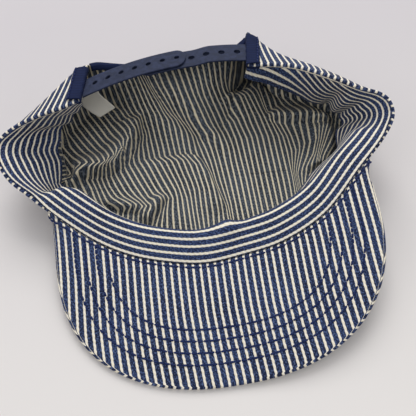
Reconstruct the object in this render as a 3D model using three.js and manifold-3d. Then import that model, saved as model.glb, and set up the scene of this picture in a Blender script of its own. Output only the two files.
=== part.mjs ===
// Striped railroad cap lying upside down, in millimetres, +Z up.
// The crown lies on the table, the visor points along -Y and the strapped back opening along +Y.
import * as THREE from "three";
import { mergeVertices } from "three/addons/utils/BufferGeometryUtils.js";
import Module from "manifold-3d";

const wasm = await Module();
wasm.setup();

// Driving dimensions
const CLOTH = 1.0; // thickness of one layer of twill
const GAP = 0.4; // clearance kept between two pieces
const FLOOR = CLOTH / 2; // height of the middle of the cloth that lies on the table
const BAND_TALL = 40; // sweatband, rim to hem
const WALL_TO_BAND = 2.1; // middle to middle where both leave the rim
const BEND_RADIUS = 5; // how soft the folds of wall and band are
const HANG = 13; // band between its first and its second bend
const VISOR_THICK = 3.2;
const VISOR_HALF_WIDTH = 92.6;
const VISOR_DEPTH = 82.4; // from the middle of its outline's curve to the front edge
const VISOR_MIDDLE = { x: 1, y: -26 };
const VISOR_POWER = 2.4; // 2 is an ellipse, more is squarer
const VISOR_CORNERS = { left: { x: -91.3, y: 2 }, right: { x: 92.6, y: -5 } };
const VISOR_SEAM = { out: 3, down: 1.2 }; // from the rim to where the visor starts
const STRAP_WIDTH = 17.5;
const STRAP_THICK = 1.4;
const STRAP_RISE = 7; // how far the strap arches back from its chord
const STRAP_CROWN = 1.8; // how much higher its middle is than its roots
const STRAP_TIP = { length: 7, narrowest: 0.18 }; // the round end
const STUD_RADIUS = 2.1;
const HOLE_RADIUS = 2.6;
const STUD_LENGTH = 2.6;
const DIMPLE_DEPTH = 0.6;
const DIMPLE_RADIUS = 1.3;
const LEG_TAPE_WIDTH = 6;
const LEG_TAPE_ROOM = 1.1; // between the tape's inner faces and the cloth
const ARCH_TAPE_WIDTH = 2.6;
const ARCH_TAPE_ROOM = 1.2;
const TAPE_THICK = 0.7;
const LABEL_THICK = 0.8;
const ORIGIN = { x: -2, y: -0.57 }; // middle of the plan outline, moved to 0, 0 at the end

// How finely each piece is faceted
const RIM_LENGTH = 445; // places along the rim are counted from 0 to this
const STATIONS = 64;
const WALL_ROWS = 8;
const ARCH_STATIONS = 13;
const PANEL_RINGS = 10;
const FIRST_RING = 3.8;
const RING_CROWDING = 1.4; // above 1 the rings crowd towards the edge, where the panel bends most
const VISOR_COLUMNS = 34;
const STRAP_STEPS = 18;
const STRAP_CROWDING = 1.8; // the same for the strap's columns and its round tip
const LABEL_ROWS = 8;

// The rim, from the left end of the back opening round the front to the right end
const rimSections = table("x y z", [
  [-68.2, 60.8, 44], [-78.3, 56, 44], [-92.3, 53.7, 42], [-104.8, 50.5, 39], [-115, 45, 35.5],
  [-118.4, 38.6, 33], [-117.5, 30.8, 31.5], [-111.5, 18.9, 29], [-100.6, 8.7, 25], [-84.5, -5, 19],
  [-65.4, -20, 14.6], [-47, -30.3, 13], [-27.3, -37.1, 13], [-7.9, -40.7, 13], [12.9, -39.1, 13.5],
  [37.9, -35, 15.6], [64, -23.5, 21], [87.8, -3.1, 31], [103.2, 10.2, 36.4], [112.7, 21.7, 40],
  [113.3, 30.3, 43.5], [108.4, 36.4, 45.5], [97.8, 42.4, 46], [81.9, 54.7, 46], [61.5, 66.3, 46],
  [36.6, 73.6, 44],
]);

// The side wall at places along the rim: it heads for face, lean degrees above level, up to bend,
// then for fall, at drop degrees, over next, and ends after tall at the height seam
const wallSections = table("at face bend lean fall drop next tall seam", [
  [0, 81, 34, -9, 88, -40, 5, 32, 39],
  [12, 80, 32, -10, 86, -80, 5, 40, 29],
  [25, 75, 19, -13, 66, -80, 13, 45, 12],
  [38, 62, 13, -20, 38, -66, 13, 45, 5],
  [51, 42, 10, -34, 26, -50, 13, 45, 3],
  [62, 24, 12, -37, 22, -42, 13, 45, 2.6],
  [80, 28, 11, -22, 28, -46, 13, 45, 4],
  [95, 44, 10, 0, 44, -52, 13, 45, 2.6],
  [118, 60, 19, 24, 60, -80, 13, 45, 2.6],
  [143, 72, 20, 26, 72, -88, 13, 45, 2.6],
  [184, 88, 20, 26, 88, -88, 13, 45, 2.6],
  [226, 93, 20, 25, 93, -88, 13, 45, 2.6],
  [252, 100, 20, 22, 100, -88, 13, 45, 2.6],
  [280, 115, 18, 17, 115, -86, 13, 45, 2.6],
  [313, 132, 14, 0, 132, -78, 13, 45, 2.6],
  [334, 142, 14, -16, 142, -66, 16, 45, 2.6],
  [349, 130, 12, -40, 128, -60, 22, 45, 2.6],
  [358, 112, 9, -45, 121, -56, 25, 45, 2.6],
  [367, 90, 8, -42, 116, -55, 26, 45, 2.8],
  [379, 68, 8, -34, 110, -55, 26, 45, 4],
  [399, 62, 10, -30, 100, -58, 25, 45, 6],
  [423, 74, 16, -24, 92, -74, 16, 42, 13],
  [445, 80, 36, -9, 84, -50, 5, 34, 39],
]);

// The sweatband lies on the wall where free is 0, and hangs by itself down to the height hem where it is 1
const bandSections = table("at free face bend lean drop hem", [
  [0, 1, 106, 20, -60, -66, 15],
  [12, 1, 92, 20, -64, -70, 14.5],
  [25, 1, 66, 20, -59, -63, 13],
  [38, 1, 38, 20, -48, -54, 10],
  [51, 0.5, 26, 14, -38, -44, 9],
  [62, 0, 23, 12, -36, -36, 9],
  [344, 0, 132, 12, -38, -58, 9],
  [358, 0.6, 121, 14, -48, -60, 9],
  [367, 1, 118, 20, -52, -60, 10],
  [379, 1, 116, 20, -53, -60, 11],
  [399, 1, 110, 20, -58, -64, 12],
  [423, 1, 100, 20, -62, -67, 13.5],
  [434, 1, 92, 20, -58, -62, 15],
  [445, 1, 85, 20, -59, -64, 16],
]);

// The edge of the back opening in the top panel, right to left: the cloth meets the table foot further in
const archSections = table("x y z foot", [
  [44.6, 105.6, 38.5, 4], [38.8, 99.6, 37.8, 7], [29, 94, 36.8, 24], [14, 91, 36.5, 40],
  [-2, 90, 36.5, 48], [-20, 89.5, 36.5, 50], [-36, 90.5, 36.8, 44], [-48, 92.5, 37.4, 28],
  [-57, 93.6, 38.3, 11], [-63.1, 92.4, 38.8, 5],
]);

// Soft folds of the panel: ridges from one place to another, how high and how wide
const foldSections = table("x1 y1 x2 y2 lift width", [
  [-69, 43, -46, 52, 7, 13], // shelf under the left wall
  [-49, 64, -52, 48, 5, 9], // roll beside it
  [-34, -2, -22, -14, 3.5, 8], // kink near the front left
  [-29, 8, -12, 6, 3, 7], // crease across it
  [66, 8, 60, 34, 4, 9], // gathers on the right
  [30, 76, 52, 62, 6, 10], // roll at the back right
]);
const panelMiddle = { x: -3, y: 22 };
const WALL_FOOT_SLOPE = 86; // steepness of the panel below the seam, in degrees

// Height of the middle of the visor along its outline, from the left corner round the front
const visorEdge = table("part z", [
  [0, 16], [0.09, 9], [0.2, 3.9], [0.32, 1.8], [0.5, 1.8], [0.59, 4.2], [0.7, 10], [0.82, 19.5],
  [0.91, 25.5], [1, 29],
]);
const visorFrom = 108; // places along the rim where the visor starts and ends
const visorTo = 318;

// Across the visor from its seam, out 0, to its edge, out 1: how full the thickness is
const visorProfile = table("out full", [
  [0, 0.85], [0.1, 1], [0.25, 1], [0.42, 1], [0.6, 1], [0.78, 1], [0.92, 1], [0.975, 0.85], [1, 0.4],
]);

function table(names, rows) {
  const keys = names.split(" ");
  return rows.map((row) => Object.fromEntries(keys.map((key, k) => [key, row[k]])));
}

// Smooth value of every column at row position s
function between(rows, s) {
  const last = rows.length - 1;
  const place = Math.min(Math.max(s, 0), last);
  const i = Math.min(Math.floor(place), last - 1);
  const t = place - i;
  const out = {};
  for (const key of Object.keys(rows[0])) {
    const b = rows[i][key];
    const c = rows[i + 1][key];
    const a = i > 0 ? rows[i - 1][key] : 2 * b - c;
    const d = i < last - 1 ? rows[i + 2][key] : 2 * c - b;
    const bend2 = 2 * a - 5 * b + 4 * c - d;
    const bend3 = 3 * b - 3 * c + d - a;
    out[key] = 0.5 * (2 * b + (c - a) * t + bend2 * t * t + bend3 * t * t * t);
  }
  return out;
}

// Smooth value of every column where the first column has the given value
function at(rows, key, value) {
  const last = rows.length - 1;
  let i = 0;
  while (i < last - 1 && rows[i + 1][key] < value) i += 1;
  const part = (value - rows[i][key]) / (rows[i + 1][key] - rows[i][key]);
  return between(rows, i + part);
}

// Points spread evenly along a curve through the rows
function evenPoints(rows, count) {
  const fine = rows.length * 40;
  const places = [];
  const run = [0];
  for (let k = 0; k <= fine; k += 1) {
    const row = between(rows, (k / fine) * (rows.length - 1));
    places.push(row);
    if (k > 0) {
      const p = places[k - 1];
      run.push(run[k - 1] + Math.hypot(row.x - p.x, row.y - p.y, row.z - p.z));
    }
  }
  const out = [];
  let k = 0;
  for (let n = 0; n < count; n += 1) {
    const goal = (run[fine] * n) / (count - 1);
    while (k < fine - 1 && run[k + 1] < goal) k += 1;
    const part = (goal - run[k]) / (run[k + 1] - run[k]);
    out.push({ ...between(rows, ((k + part) / fine) * (rows.length - 1)), run: goal });
  }
  return out;
}

const vec = (p) => new THREE.Vector3(p.x, p.y, p.z);

function heading(face, lean) {
  const f = THREE.MathUtils.degToRad(face);
  const l = THREE.MathUtils.degToRad(lean);
  return new THREE.Vector3(Math.cos(f) * Math.cos(l), Math.sin(f) * Math.cos(l), Math.sin(l));
}

// Distance gone past a bend, rounded over radius
function past(distance, bend, radius) {
  const inside = Math.min(Math.max(distance - bend + radius, 0), 2 * radius);
  return (inside * inside) / (4 * radius) + Math.max(distance - bend - radius, 0);
}

// Points down a strip of cloth that leaves start and bends twice
function strip(start, lines, shown) {
  const { first, second, third, bend, next } = lines;
  const out = [];
  for (let k = 0; k <= WALL_ROWS; k += 1) {
    const d = (shown * k) / WALL_ROWS;
    const p = start.clone().addScaledVector(first, d);
    p.addScaledVector(second.clone().sub(first), past(d, bend, Math.min(BEND_RADIUS, bend * 0.98)));
    p.addScaledVector(third.clone().sub(second), past(d, bend + next, BEND_RADIUS));
    out.push(p);
  }
  return out;
}

function bends(start, { face, lean, fall, drop, bend, next, tall, end }) {
  const first = heading(face, lean);
  const second = heading(fall, drop);
  const restLength = Math.max(tall - bend - next, 1);
  const restDepth = end - start.z - first.z * bend - second.z * next;
  const sink = Math.min(Math.max(restDepth / restLength, -1), 0.3);
  const third = heading(fall, THREE.MathUtils.radToDeg(Math.asin(sink))); // nears the height end
  return { first, second, third, bend, next };
}

const rimPoints = evenPoints(rimSections, STATIONS);

// Direction across a grid of points at one of them
function crossing(grid, i, j) {
  const across = grid[Math.min(i + 1, grid.length - 1)][j].clone().sub(grid[Math.max(i - 1, 0)][j]);
  const down = grid[i][Math.min(j + 1, grid[i].length - 1)].clone().sub(grid[i][Math.max(j - 1, 0)]);
  return across.cross(down).normalize();
}

// Both cloth walls leave the rim side by side, the band on the inner side
function wallAndBand() {
  const wall = [];
  const beside = [];
  const free = [];
  const rows = rimPoints.map((point) => (point.run / rimPoints[STATIONS - 1].run) * RIM_LENGTH);
  rimPoints.forEach((point, i) => {
    const w = at(wallSections, "at", rows[i]);
    const start = vec(point);
    const lines = bends(start, { ...w, end: w.seam });
    wall.push(strip(start, lines, w.tall));
    beside.push(strip(start, lines, BAND_TALL));
    const b = at(bandSections, "at", rows[i]);
    const drop = bends(start, { ...b, fall: b.face, next: HANG, tall: BAND_TALL, end: b.hem });
    free.push(strip(start, drop, BAND_TALL));
  });
  const side = (grid, amount) => grid.map((column, i) => (
    column.map((p, j) => p.clone().addScaledVector(crossing(grid, i, j), amount))
  ));
  const lying = side(beside, WALL_TO_BAND / 2);
  const hanging = side(free, WALL_TO_BAND / 2);
  const band = lying.map((column, i) => {
    const share = Math.min(Math.max(at(bandSections, "at", rows[i]).free, 0), 1);
    return column.map((p, k) => p.lerp(hanging[i][k], share));
  });
  return { wall: side(wall, -WALL_TO_BAND / 2), band };
}

// A closed sheet of the given thickness about a grid of points; thick may vary with row and column
function sheet(grid, thick, { round = false, tip = null } = {}) {
  const columns = grid.length;
  const rows = grid[0].length;
  const column = (i) => (round ? (i + columns) % columns : Math.min(Math.max(i, 0), columns - 1));
  const half = (i, j) => (typeof thick === "function" ? thick(i, j) : thick) / 2;
  const positions = [];
  const index = [];
  for (const side of [1, -1]) {
    for (let i = 0; i < columns; i += 1) {
      for (let j = 0; j < rows; j += 1) {
        const across = grid[column(i + 1)][j].clone().sub(grid[column(i - 1)][j]);
        const down = grid[i][Math.min(j + 1, rows - 1)].clone().sub(grid[i][Math.max(j - 1, 0)]);
        const normal = across.cross(down).normalize().multiplyScalar(side * half(i, j));
        const p = grid[i][j].clone().add(normal);
        positions.push(p.x, p.y, p.z);
      }
    }
  }
  const layer = columns * rows;
  const id = (i, j, side) => side * layer + column(i) * rows + j;
  const quad = (a, b, c, d) => index.push(a, b, c, a, c, d);
  const last = round ? columns : columns - 1;
  for (let i = 0; i < last; i += 1) {
    for (let j = 0; j < rows - 1; j += 1) {
      quad(id(i, j, 0), id(i + 1, j, 0), id(i + 1, j + 1, 0), id(i, j + 1, 0));
      quad(id(i, j, 1), id(i, j + 1, 1), id(i + 1, j + 1, 1), id(i + 1, j, 1));
    }
    quad(id(i, 0, 0), id(i, 0, 1), id(i + 1, 0, 1), id(i + 1, 0, 0));
    if (!tip) quad(id(i, rows - 1, 0), id(i + 1, rows - 1, 0), id(i + 1, rows - 1, 1), id(i, rows - 1, 1));
  }
  if (tip) {
    const up = positions.length / 3;
    positions.push(tip.x, tip.y, tip.z + thick / 2, tip.x, tip.y, tip.z - thick / 2);
    for (let i = 0; i < last; i += 1) {
      index.push(id(i, rows - 1, 0), id(i + 1, rows - 1, 0), up);
      index.push(id(i + 1, rows - 1, 1), id(i, rows - 1, 1), up + 1);
    }
  }
  if (!round) {
    for (let j = 0; j < rows - 1; j += 1) {
      quad(id(0, j, 0), id(0, j + 1, 0), id(0, j + 1, 1), id(0, j, 1));
      quad(id(last, j, 1), id(last, j + 1, 1), id(last, j + 1, 0), id(last, j, 0));
    }
  }
  const geometry = new THREE.BufferGeometry();
  geometry.setAttribute("position", new THREE.Float32BufferAttribute(positions, 3));
  geometry.setIndex(index);
  return facingOut(geometry);
}

function volume(geometry) {
  const p = geometry.getAttribute("position");
  const index = geometry.getIndex();
  const corner = [new THREE.Vector3(), new THREE.Vector3(), new THREE.Vector3()];
  let total = 0;
  for (let k = 0; k < index.count; k += 3) {
    corner.forEach((c, n) => c.fromBufferAttribute(p, index.getX(k + n)));
    total += corner[0].dot(corner[1].clone().cross(corner[2])) / 6;
  }
  return total;
}

function facingOut(geometry) {
  if (volume(geometry) < 0) {
    const index = geometry.getIndex();
    for (let k = 0; k < index.count; k += 3) {
      const b = index.getX(k + 1);
      index.setX(k + 1, index.getX(k + 2));
      index.setX(k + 2, b);
    }
  }
  geometry.computeVertexNormals();
  return geometry;
}

// A closed bar of constant outline carried along frames of { point, e, n }
function sweep(frames, outline) {
  const positions = [];
  const index = [];
  for (const { point, e, n } of frames) {
    for (const [a, b] of outline) {
      const p = point.clone().addScaledVector(e, a).addScaledVector(n, b);
      positions.push(p.x, p.y, p.z);
    }
  }
  const size = outline.length;
  for (let i = 0; i < frames.length - 1; i += 1) {
    for (let k = 0; k < size; k += 1) {
      const a = i * size + k;
      const b = i * size + ((k + 1) % size);
      index.push(a, b, b + size, a, b + size, a + size);
    }
  }
  const faces = THREE.ShapeUtils.triangulateShape(outline.map(([a, b]) => new THREE.Vector2(a, b)), []);
  const end = (frames.length - 1) * size;
  for (const [a, b, c] of faces) {
    index.push(c, b, a);
    index.push(end + a, end + b, end + c);
  }
  const geometry = new THREE.BufferGeometry();
  geometry.setAttribute("position", new THREE.Float32BufferAttribute(positions, 3));
  geometry.setIndex(index);
  return facingOut(geometry);
}

// How much the folds lift the panel at a place
function foldLift(x, y) {
  let lift = 0;
  for (const fold of foldSections) {
    const ax = fold.x2 - fold.x1;
    const ay = fold.y2 - fold.y1;
    const part = ((x - fold.x1) * ax + (y - fold.y1) * ay) / (ax * ax + ay * ay);
    const near = Math.min(Math.max(part, 0), 1);
    const away = Math.hypot(x - fold.x1 - near * ax, y - fold.y1 - near * ay) / fold.width;
    if (away < 1) lift += fold.lift * (0.5 + 0.5 * Math.cos(Math.PI * away));
  }
  return lift;
}

function panelGrid(wall) {
  const seams = wall.map((column) => {
    const end = column[WALL_ROWS];
    const onward = end.clone().sub(column[WALL_ROWS - 1]).normalize();
    const inward = new THREE.Vector3(panelMiddle.x - end.x, panelMiddle.y - end.y, 0).normalize();
    const start = end.clone().addScaledVector(onward.add(inward).normalize(), CLOTH + 2 * GAP);
    start.z = Math.max(start.z, FLOOR);
    const foot = Math.max((start.z - FLOOR) / Math.tan(THREE.MathUtils.degToRad(WALL_FOOT_SLOPE)), 3);
    return { x: start.x, y: start.y, z: start.z, foot };
  });
  const arch = evenPoints(archSections, ARCH_STATIONS + 2).slice(1, -1);
  return [...seams, ...arch].map((edge) => {
    const reach = Math.hypot(edge.x - panelMiddle.x, edge.y - panelMiddle.y);
    const soft = Math.min(10, edge.foot * 0.45);
    const column = [];
    for (let k = 0; k < PANEL_RINGS; k += 1) {
      const further = (Math.max(k - 1, 0) / (PANEL_RINGS - 1)) ** RING_CROWDING;
      const near = k === 0 ? 0 : FIRST_RING + (reach - FIRST_RING) * further;
      const part = near / reach;
      const x = edge.x + (panelMiddle.x - edge.x) * part;
      const y = edge.y + (panelMiddle.y - edge.y) * part;
      const left = past(-near, -edge.foot, soft) / edge.foot;
      const fade = Math.min(near / 12, 1);
      column.push(new THREE.Vector3(x, y, FLOOR + (edge.z - FLOOR) * left + fade * foldLift(x, y)));
    }
    return column;
  });
}

// The visor: columns from the rim seam to the outline, whose edge is rolled thin
function visorGrid() {
  const outline = [{ ...VISOR_CORNERS.left, z: 0 }];
  const turns = 60;
  for (let k = 0; k <= turns; k += 1) {
    const turn = Math.PI * (1 + k / turns);
    const c = Math.cos(turn);
    const s = Math.sin(turn);
    const power = 2 / VISOR_POWER;
    outline.push({
      x: VISOR_MIDDLE.x + VISOR_HALF_WIDTH * Math.sign(c) * Math.abs(c) ** power,
      y: VISOR_MIDDLE.y + VISOR_DEPTH * Math.sign(s) * Math.abs(s) ** power,
      z: 0,
    });
  }
  outline.push({ ...VISOR_CORNERS.right, z: 0 });
  const around = evenPoints(outline, VISOR_COLUMNS + 1);
  const length = around[VISOR_COLUMNS].run;
  const fineRim = evenPoints(rimSections, RIM_LENGTH + 1);
  return around.map((edge, i) => {
    const part = i / VISOR_COLUMNS;
    const place = visorFrom + (visorTo - visorFrom) * part;
    const rim = fineRim[Math.round(place)];
    const before = fineRim[Math.round(place) - 2];
    const after = fineRim[Math.round(place) + 2];
    const outward = new THREE.Vector3(after.y - before.y, before.x - after.x, 0).normalize();
    const seam = vec(rim).addScaledVector(outward, VISOR_SEAM.out);
    seam.z -= VISOR_SEAM.down;
    const end = new THREE.Vector3(edge.x, edge.y, at(visorEdge, "part", edge.run / length).z);
    return visorProfile.map((row) => seam.clone().lerp(end, row.out));
  });
}

// The strap's near edge runs from root to root, t from 0 to 1, and its width heads away from it
const strapRoots = { left: { x: -66.6, y: 61.8 }, right: { x: 39.2, y: 76.4 }, z: 44 };
const strapLength = 107;
const strapFacing = { from: 81, turn: 7, dip: -10, more: -2 }; // degrees: where its width heads

function strapFrame(t, depth) {
  const bow = 1 - (2 * t - 1) ** 2;
  const { left, right, z } = strapRoots;
  const dy = right.y - left.y;
  const dx = right.x - left.x;
  const near = new THREE.Vector3(left.x + dx * t, left.y + dy * t + STRAP_RISE * bow, z + STRAP_CROWN * bow);
  const slope = 4 * (1 - 2 * t); // of bow along t
  const along = new THREE.Vector3(dx, dy + STRAP_RISE * slope, STRAP_CROWN * slope).normalize();
  const e = heading(strapFacing.from + strapFacing.turn * t, strapFacing.dip + strapFacing.more * bow);
  const n = along.clone().cross(e).normalize();
  return { point: near.addScaledVector(e, STRAP_WIDTH / 2).addScaledVector(n, depth(t)), e, n, along };
}

// One half of the strap, with its round tip at the end to
function strapHalf(root, tip, depth) {
  const columns = [];
  for (let k = 0; k <= STRAP_STEPS; k += 1) {
    const left = (1 - k / STRAP_STEPS) ** STRAP_CROWDING;
    const frame = strapFrame(tip + (root - tip) * left, depth);
    const inTip = Math.min((left * Math.abs(tip - root) * strapLength) / STRAP_TIP.length, 1);
    const halfWidth = (STRAP_WIDTH / 2) * Math.max(Math.sqrt(1 - (1 - inTip) ** 2), STRAP_TIP.narrowest);
    columns.push([-1, 0, 1].map((v) => frame.point.clone().addScaledVector(frame.e, v * halfWidth)));
  }
  return sheet(columns, STRAP_THICK);
}

function toManifold(geometry) {
  const plain = geometry.clone();
  plain.deleteAttribute("normal");
  if (plain.getAttribute("uv")) plain.deleteAttribute("uv");
  const merged = mergeVertices(plain, 1e-4);
  const vertProperties = new Float32Array(merged.getAttribute("position").array);
  const triVerts = new Uint32Array(merged.getIndex().array);
  return new wasm.Manifold(new wasm.Mesh({ numProp: 3, vertProperties, triVerts }));
}

function fromManifold(solid) {
  const mesh = solid.getMesh();
  const geometry = new THREE.BufferGeometry();
  geometry.setAttribute("position", new THREE.Float32BufferAttribute(mesh.vertProperties, 3));
  geometry.setIndex([...mesh.triVerts]);
  geometry.computeVertexNormals();
  return geometry;
}

// A peg at a place on the strap, its axis along the strap's normal
function peg(t, depth, radius, length, shift) {
  const frame = strapFrame(t, (s) => depth(s) + shift);
  const cylinder = new THREE.CylinderGeometry(radius, radius, length, 10);
  const turn = new THREE.Quaternion().setFromUnitVectors(new THREE.Vector3(0, 1, 0), frame.n);
  cylinder.applyQuaternion(turn);
  cylinder.translate(frame.point.x, frame.point.y, frame.point.z);
  return toManifold(cylinder);
}

const leftTip = 0.612;
const rightTip = 0.335;
const rightRoot = 0.953; // where the right half goes into its binding
const studPlace = (k) => 0.062 + 0.0765 * k + 0.001 * k * k; // a steady pitch along the bowed strap
const onTop = () => 0;
const rise = (t) => THREE.MathUtils.smoothstep(t, leftTip + 0.03, leftTip + 0.16);
const below = (t) => -(STRAP_THICK + GAP) * (1 - rise(t));

function strapLeft() {
  let solid = toManifold(strapHalf(0, leftTip, onTop));
  for (let k = 0; k < 7; k += 1) {
    const t = studPlace(k);
    solid = solid.add(peg(t, onTop, STUD_RADIUS, STUD_LENGTH, -(STRAP_THICK + STUD_LENGTH) / 2 + 0.3));
    solid = solid.subtract(peg(t, onTop, DIMPLE_RADIUS, 2 * DIMPLE_DEPTH, STRAP_THICK / 2));
  }
  return fromManifold(solid);
}

function strapRight() {
  let solid = toManifold(strapHalf(rightRoot, rightTip, below));
  for (let k = 4; k < 11; k += 1) {
    solid = solid.subtract(peg(studPlace(k), below, HOLE_RADIUS, 4 * STRAP_THICK, 0));
  }
  return fromManifold(solid);
}

// Folded tape: a U that takes the cloth's edge between its two layers, with some room beside it
function tapeOutline(width, room) {
  const inner = CLOTH / 2 + room;
  const outer = inner + TAPE_THICK;
  const back = -GAP - TAPE_THICK;
  return [
    [width, outer], [back, outer], [back, -outer], [width, -outer],
    [width, -inner], [-GAP, -inner], [-GAP, inner], [width, inner],
  ];
}

function legTape(wall, end, next) {
  const frames = [];
  const rows = WALL_ROWS - 1;
  for (let j = 0; j <= rows; j += 1) {
    const e = wall[next][j].clone().sub(wall[end][j]).normalize();
    const along = wall[end][Math.min(j + 1, WALL_ROWS)].clone();
    along.sub(wall[end][Math.max(j - 1, 0)]).normalize();
    e.addScaledVector(along, -e.dot(along)).normalize();
    const point = j > 0 ? wall[end][j] : wall[end][0].clone().lerp(wall[end][1], 0.35);
    frames.push({ point, e, n: along.clone().cross(e).normalize() });
  }
  return sweep(frames, tapeOutline(LEG_TAPE_WIDTH, LEG_TAPE_ROOM));
}

function archTape(panel) {
  const columns = panel.slice(STATIONS + 1, STATIONS + ARCH_STATIONS);
  const frames = columns.map((column, i) => {
    const e = column[1].clone().sub(column[0]).normalize();
    const after = columns[Math.min(i + 1, columns.length - 1)][0].clone();
    const along = after.sub(columns[Math.max(i - 1, 0)][0]).normalize();
    e.addScaledVector(along, -e.dot(along)).normalize();
    return { point: column[0], e, n: along.clone().cross(e).normalize() };
  });
  return sweep(frames, tapeOutline(ARCH_TAPE_WIDTH, ARCH_TAPE_ROOM));
}

// The care tag hangs below the strap's left root: its two long edges, top to bottom
const labelSections = table("xa ya za xb yb zb", [
  [-69.5, 77.5, 38.9, -60.8, 79.2, 39.6], [-71, 76.5, 32, -59.5, 79, 33.6],
  [-70.9, 74, 25.4, -58.4, 76.7, 29.3],
  [-66, 70.6, 20.8, -54.3, 73.9, 25.2], [-60.6, 67.6, 18, -50, 70.6, 22],
]);

function labelGrid() {
  const columns = [];
  for (let k = 0; k <= LABEL_ROWS; k += 1) {
    const edges = between(labelSections, (k / LABEL_ROWS) * (labelSections.length - 1));
    const one = new THREE.Vector3(edges.xa, edges.ya, edges.za);
    const other = new THREE.Vector3(edges.xb, edges.yb, edges.zb);
    columns.push([0, 0.33, 0.67, 1].map((v) => one.clone().lerp(other, v)));
  }
  return columns;
}

const hickory = { color: 0x3c4a70, roughness: 0.92, metalness: 0 };
const reverse = { color: 0x59616a, roughness: 0.95, metalness: 0 };
const tape = { color: 0x26335e, roughness: 0.85, metalness: 0 };
const plastic = { color: 0x3c4560, roughness: 0.45, metalness: 0 };
const ribbon = { color: 0xb5b1a2, roughness: 0.7, metalness: 0 };

const { wall, band } = wallAndBand();
const panel = panelGrid(wall);
const cap = new THREE.Group();

function piece(name, geometry, finish) {
  const mesh = new THREE.Mesh(geometry, new THREE.MeshStandardMaterial(finish));
  mesh.name = name;
  mesh.position.set(-ORIGIN.x, -ORIGIN.y, 0);
  cap.add(mesh);
}

piece("visor", sheet(visorGrid(), (i, j) => VISOR_THICK * visorProfile[j].full), hickory);
piece("side_panel", sheet(wall, CLOTH), hickory);
piece("sweatband", sheet(band, CLOTH), hickory);
piece("top_panel", sheet(panel, CLOTH, { round: true, tip: vec({ ...panelMiddle, z: FLOOR }) }), reverse);
piece("binding_left", legTape(wall, 0, 1), tape);
piece("binding_right", legTape(wall, STATIONS - 1, STATIONS - 2), tape);
piece("binding_arch", archTape(panel), tape);
piece("strap_left", strapLeft(), plastic);
piece("strap_right", strapRight(), plastic);
piece("care_label", sheet(labelGrid(), LABEL_THICK), ribbon);

export default cap;
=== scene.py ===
# Striped railroad cap, lying upside down on a pale table and seen from above its visor.
# Shapes are worked out in millimetres about capMiddle, and turned to metres as each mesh is made.
import math

import bpy
import numpy as np
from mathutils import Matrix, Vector


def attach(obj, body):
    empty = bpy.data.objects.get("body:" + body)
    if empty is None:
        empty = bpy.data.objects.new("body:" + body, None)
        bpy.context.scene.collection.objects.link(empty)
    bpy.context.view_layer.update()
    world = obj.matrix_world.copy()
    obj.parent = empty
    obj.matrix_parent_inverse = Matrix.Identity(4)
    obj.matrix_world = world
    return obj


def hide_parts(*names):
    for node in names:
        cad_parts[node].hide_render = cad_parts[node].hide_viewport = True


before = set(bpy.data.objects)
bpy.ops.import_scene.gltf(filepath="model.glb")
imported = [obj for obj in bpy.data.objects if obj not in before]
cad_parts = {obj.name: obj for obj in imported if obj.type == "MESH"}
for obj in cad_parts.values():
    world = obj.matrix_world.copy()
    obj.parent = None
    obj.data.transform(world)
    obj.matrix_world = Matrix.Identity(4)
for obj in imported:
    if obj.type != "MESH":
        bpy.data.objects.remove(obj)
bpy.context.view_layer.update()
print("frame loaded:", ", ".join(sorted(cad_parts)))

mm = 0.001
capMiddle = np.array([2.0, 0.57, 0.0])  # where the measured shapes start, in the frame's axes

# The camera stands in front of the visor and looks down on it
camera = {"place": (-22.54, -159.8, 280.8), "tilt": 30.0, "turn": -8.7, "lens": 45.0, "sensor": 36.0,
          "nearest": 10}

lens = bpy.data.cameras.new("camera")
lens.lens = camera["lens"]
lens.sensor_width = camera["sensor"]
lens.clip_start = camera["nearest"] * mm
cameraObject = bpy.data.objects.new("camera", lens)
bpy.context.scene.collection.objects.link(cameraObject)
cameraObject.location = Vector(camera["place"]) * mm
cameraObject.rotation_euler = (math.radians(camera["tilt"]), 0, math.radians(camera["turn"]))
bpy.context.scene.camera = cameraObject


# Measured tables and smooth curves through them
def table(names, rows):
    return dict(zip(names.split(), np.array(rows, float).T))


# Smooth value of every column at row places
def smooth(rows, place):
    last = len(next(iter(rows.values()))) - 1
    place = np.clip(np.asarray(place, float), 0, last)
    i = np.minimum(place.astype(int), last - 1)
    t = place - i
    out = {}
    for name, column in rows.items():
        padded = np.r_[2 * column[0] - column[1], column, 2 * column[-1] - column[-2]]
        a, b, c, d = (padded[i + k] for k in range(4))
        bend2 = 2 * a - 5 * b + 4 * c - d
        bend3 = 3 * b - 3 * c + d - a
        out[name] = 0.5 * (2 * b + (c - a) * t + bend2 * t**2 + bend3 * t**3)
    return out


# The same where the column key has the given values
def at(rows, key, values):
    return smooth(rows, np.interp(values, rows[key], np.arange(len(rows[key]))))


def xyz(columns):
    return np.stack([columns["x"], columns["y"], columns["z"]], -1)


def runAlong(path):
    return np.r_[0, np.cumsum(np.linalg.norm(np.diff(path, axis=0), axis=1))]


# Points of a path at places along its run
def pointAt(places, run, path):
    return np.stack([np.interp(places, run, path[:, k]) for k in range(3)], 1)


# Rows spread evenly along the curve through a table, and how far along each is
def evenRows(rows, count):
    last = len(rows["x"]) - 1
    stepsPerRow = 40
    fine = np.linspace(0, last, stepsPerRow * (last + 1))
    run = runAlong(xyz(smooth(rows, fine)))
    goal = np.linspace(0, run[-1], count)
    return smooth(rows, np.interp(goal, run, fine)), goal


def unit(v):
    return v / np.maximum(np.linalg.norm(v, axis=-1, keepdims=True), 1e-9)


# Direction that faces a compass angle counted from +X, and leans up from level
def heading(face, lean):
    f, l = np.broadcast_arrays(np.radians(face), np.radians(lean))
    return np.stack([np.cos(f) * np.cos(l), np.sin(f) * np.cos(l), np.sin(l)], -1)


def smoothstep(value, start, end):
    t = np.clip((value - start) / (end - start), 0, 1)
    return t * t * (3 - 2 * t)


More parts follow.
